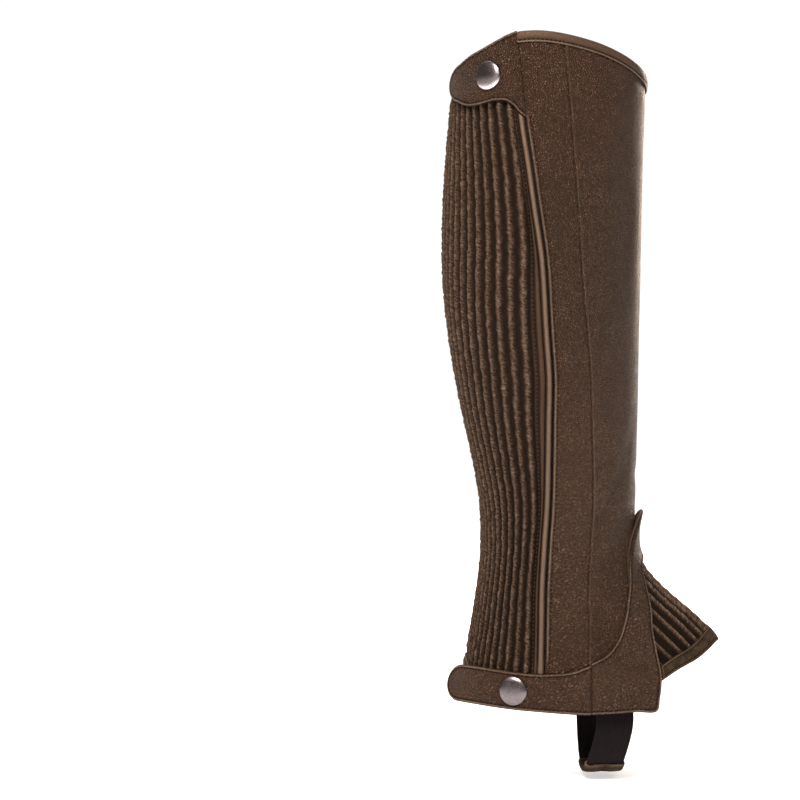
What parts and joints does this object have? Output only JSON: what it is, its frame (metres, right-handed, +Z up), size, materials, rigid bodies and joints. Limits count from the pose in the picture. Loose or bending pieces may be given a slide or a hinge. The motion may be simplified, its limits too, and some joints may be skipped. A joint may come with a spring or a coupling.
{
  "type": "half chap",
  "caption": "Leather half chap for the right lower leg, with a pleated elastic calf, a side zip, snap tabs, a ribbed instep gusset and a strap under the boot.",
  "frame": {"origin": "middle of the top opening, at the height of its front edge, where the wearer's leg holds the chap", "axes": "+Z up the leg, +X towards the toe, +Y towards the inner side of the right leg"},
  "size_m": [0.1691, 0.1126, 0.4377],
  "materials": {
    "brown_leather": "waxed full-grain leather with a soft sheen",
    "pleated_leather": "soft thin leather gathered over elastic",
    "olive_suede": "dull brushed suede",
    "black_elastic": "woven elastic webbing and zip tape",
    "aged_steel": "antique nickel finish on pressed snap caps"
  },
  "bodies": {
    "root": {"main_panel": "brown_leather", "side_panel": "brown_leather", "elastic_panel": "pleated_leather", "back_stay": "brown_leather", "zip_guard": "brown_leather", "zip_tape": "black_elastic", "zip_slider": "aged_steel", "top_binding": "brown_leather", "elastic_top_binding": "brown_leather", "hem_binding": "brown_leather", "elastic_hem_binding": "brown_leather", "front_overlay": "brown_leather", "top_tab": "brown_leather", "bottom_tab": "brown_leather", "top_snap_cap": "aged_steel", "bottom_snap_cap": "aged_steel", "inner_patch": "brown_leather", "gusset": "pleated_leather", "gusset_band": "olive_suede", "foot_strap": "black_elastic", "strap_patch": "olive_suede"}
  },
  "joints": []
}
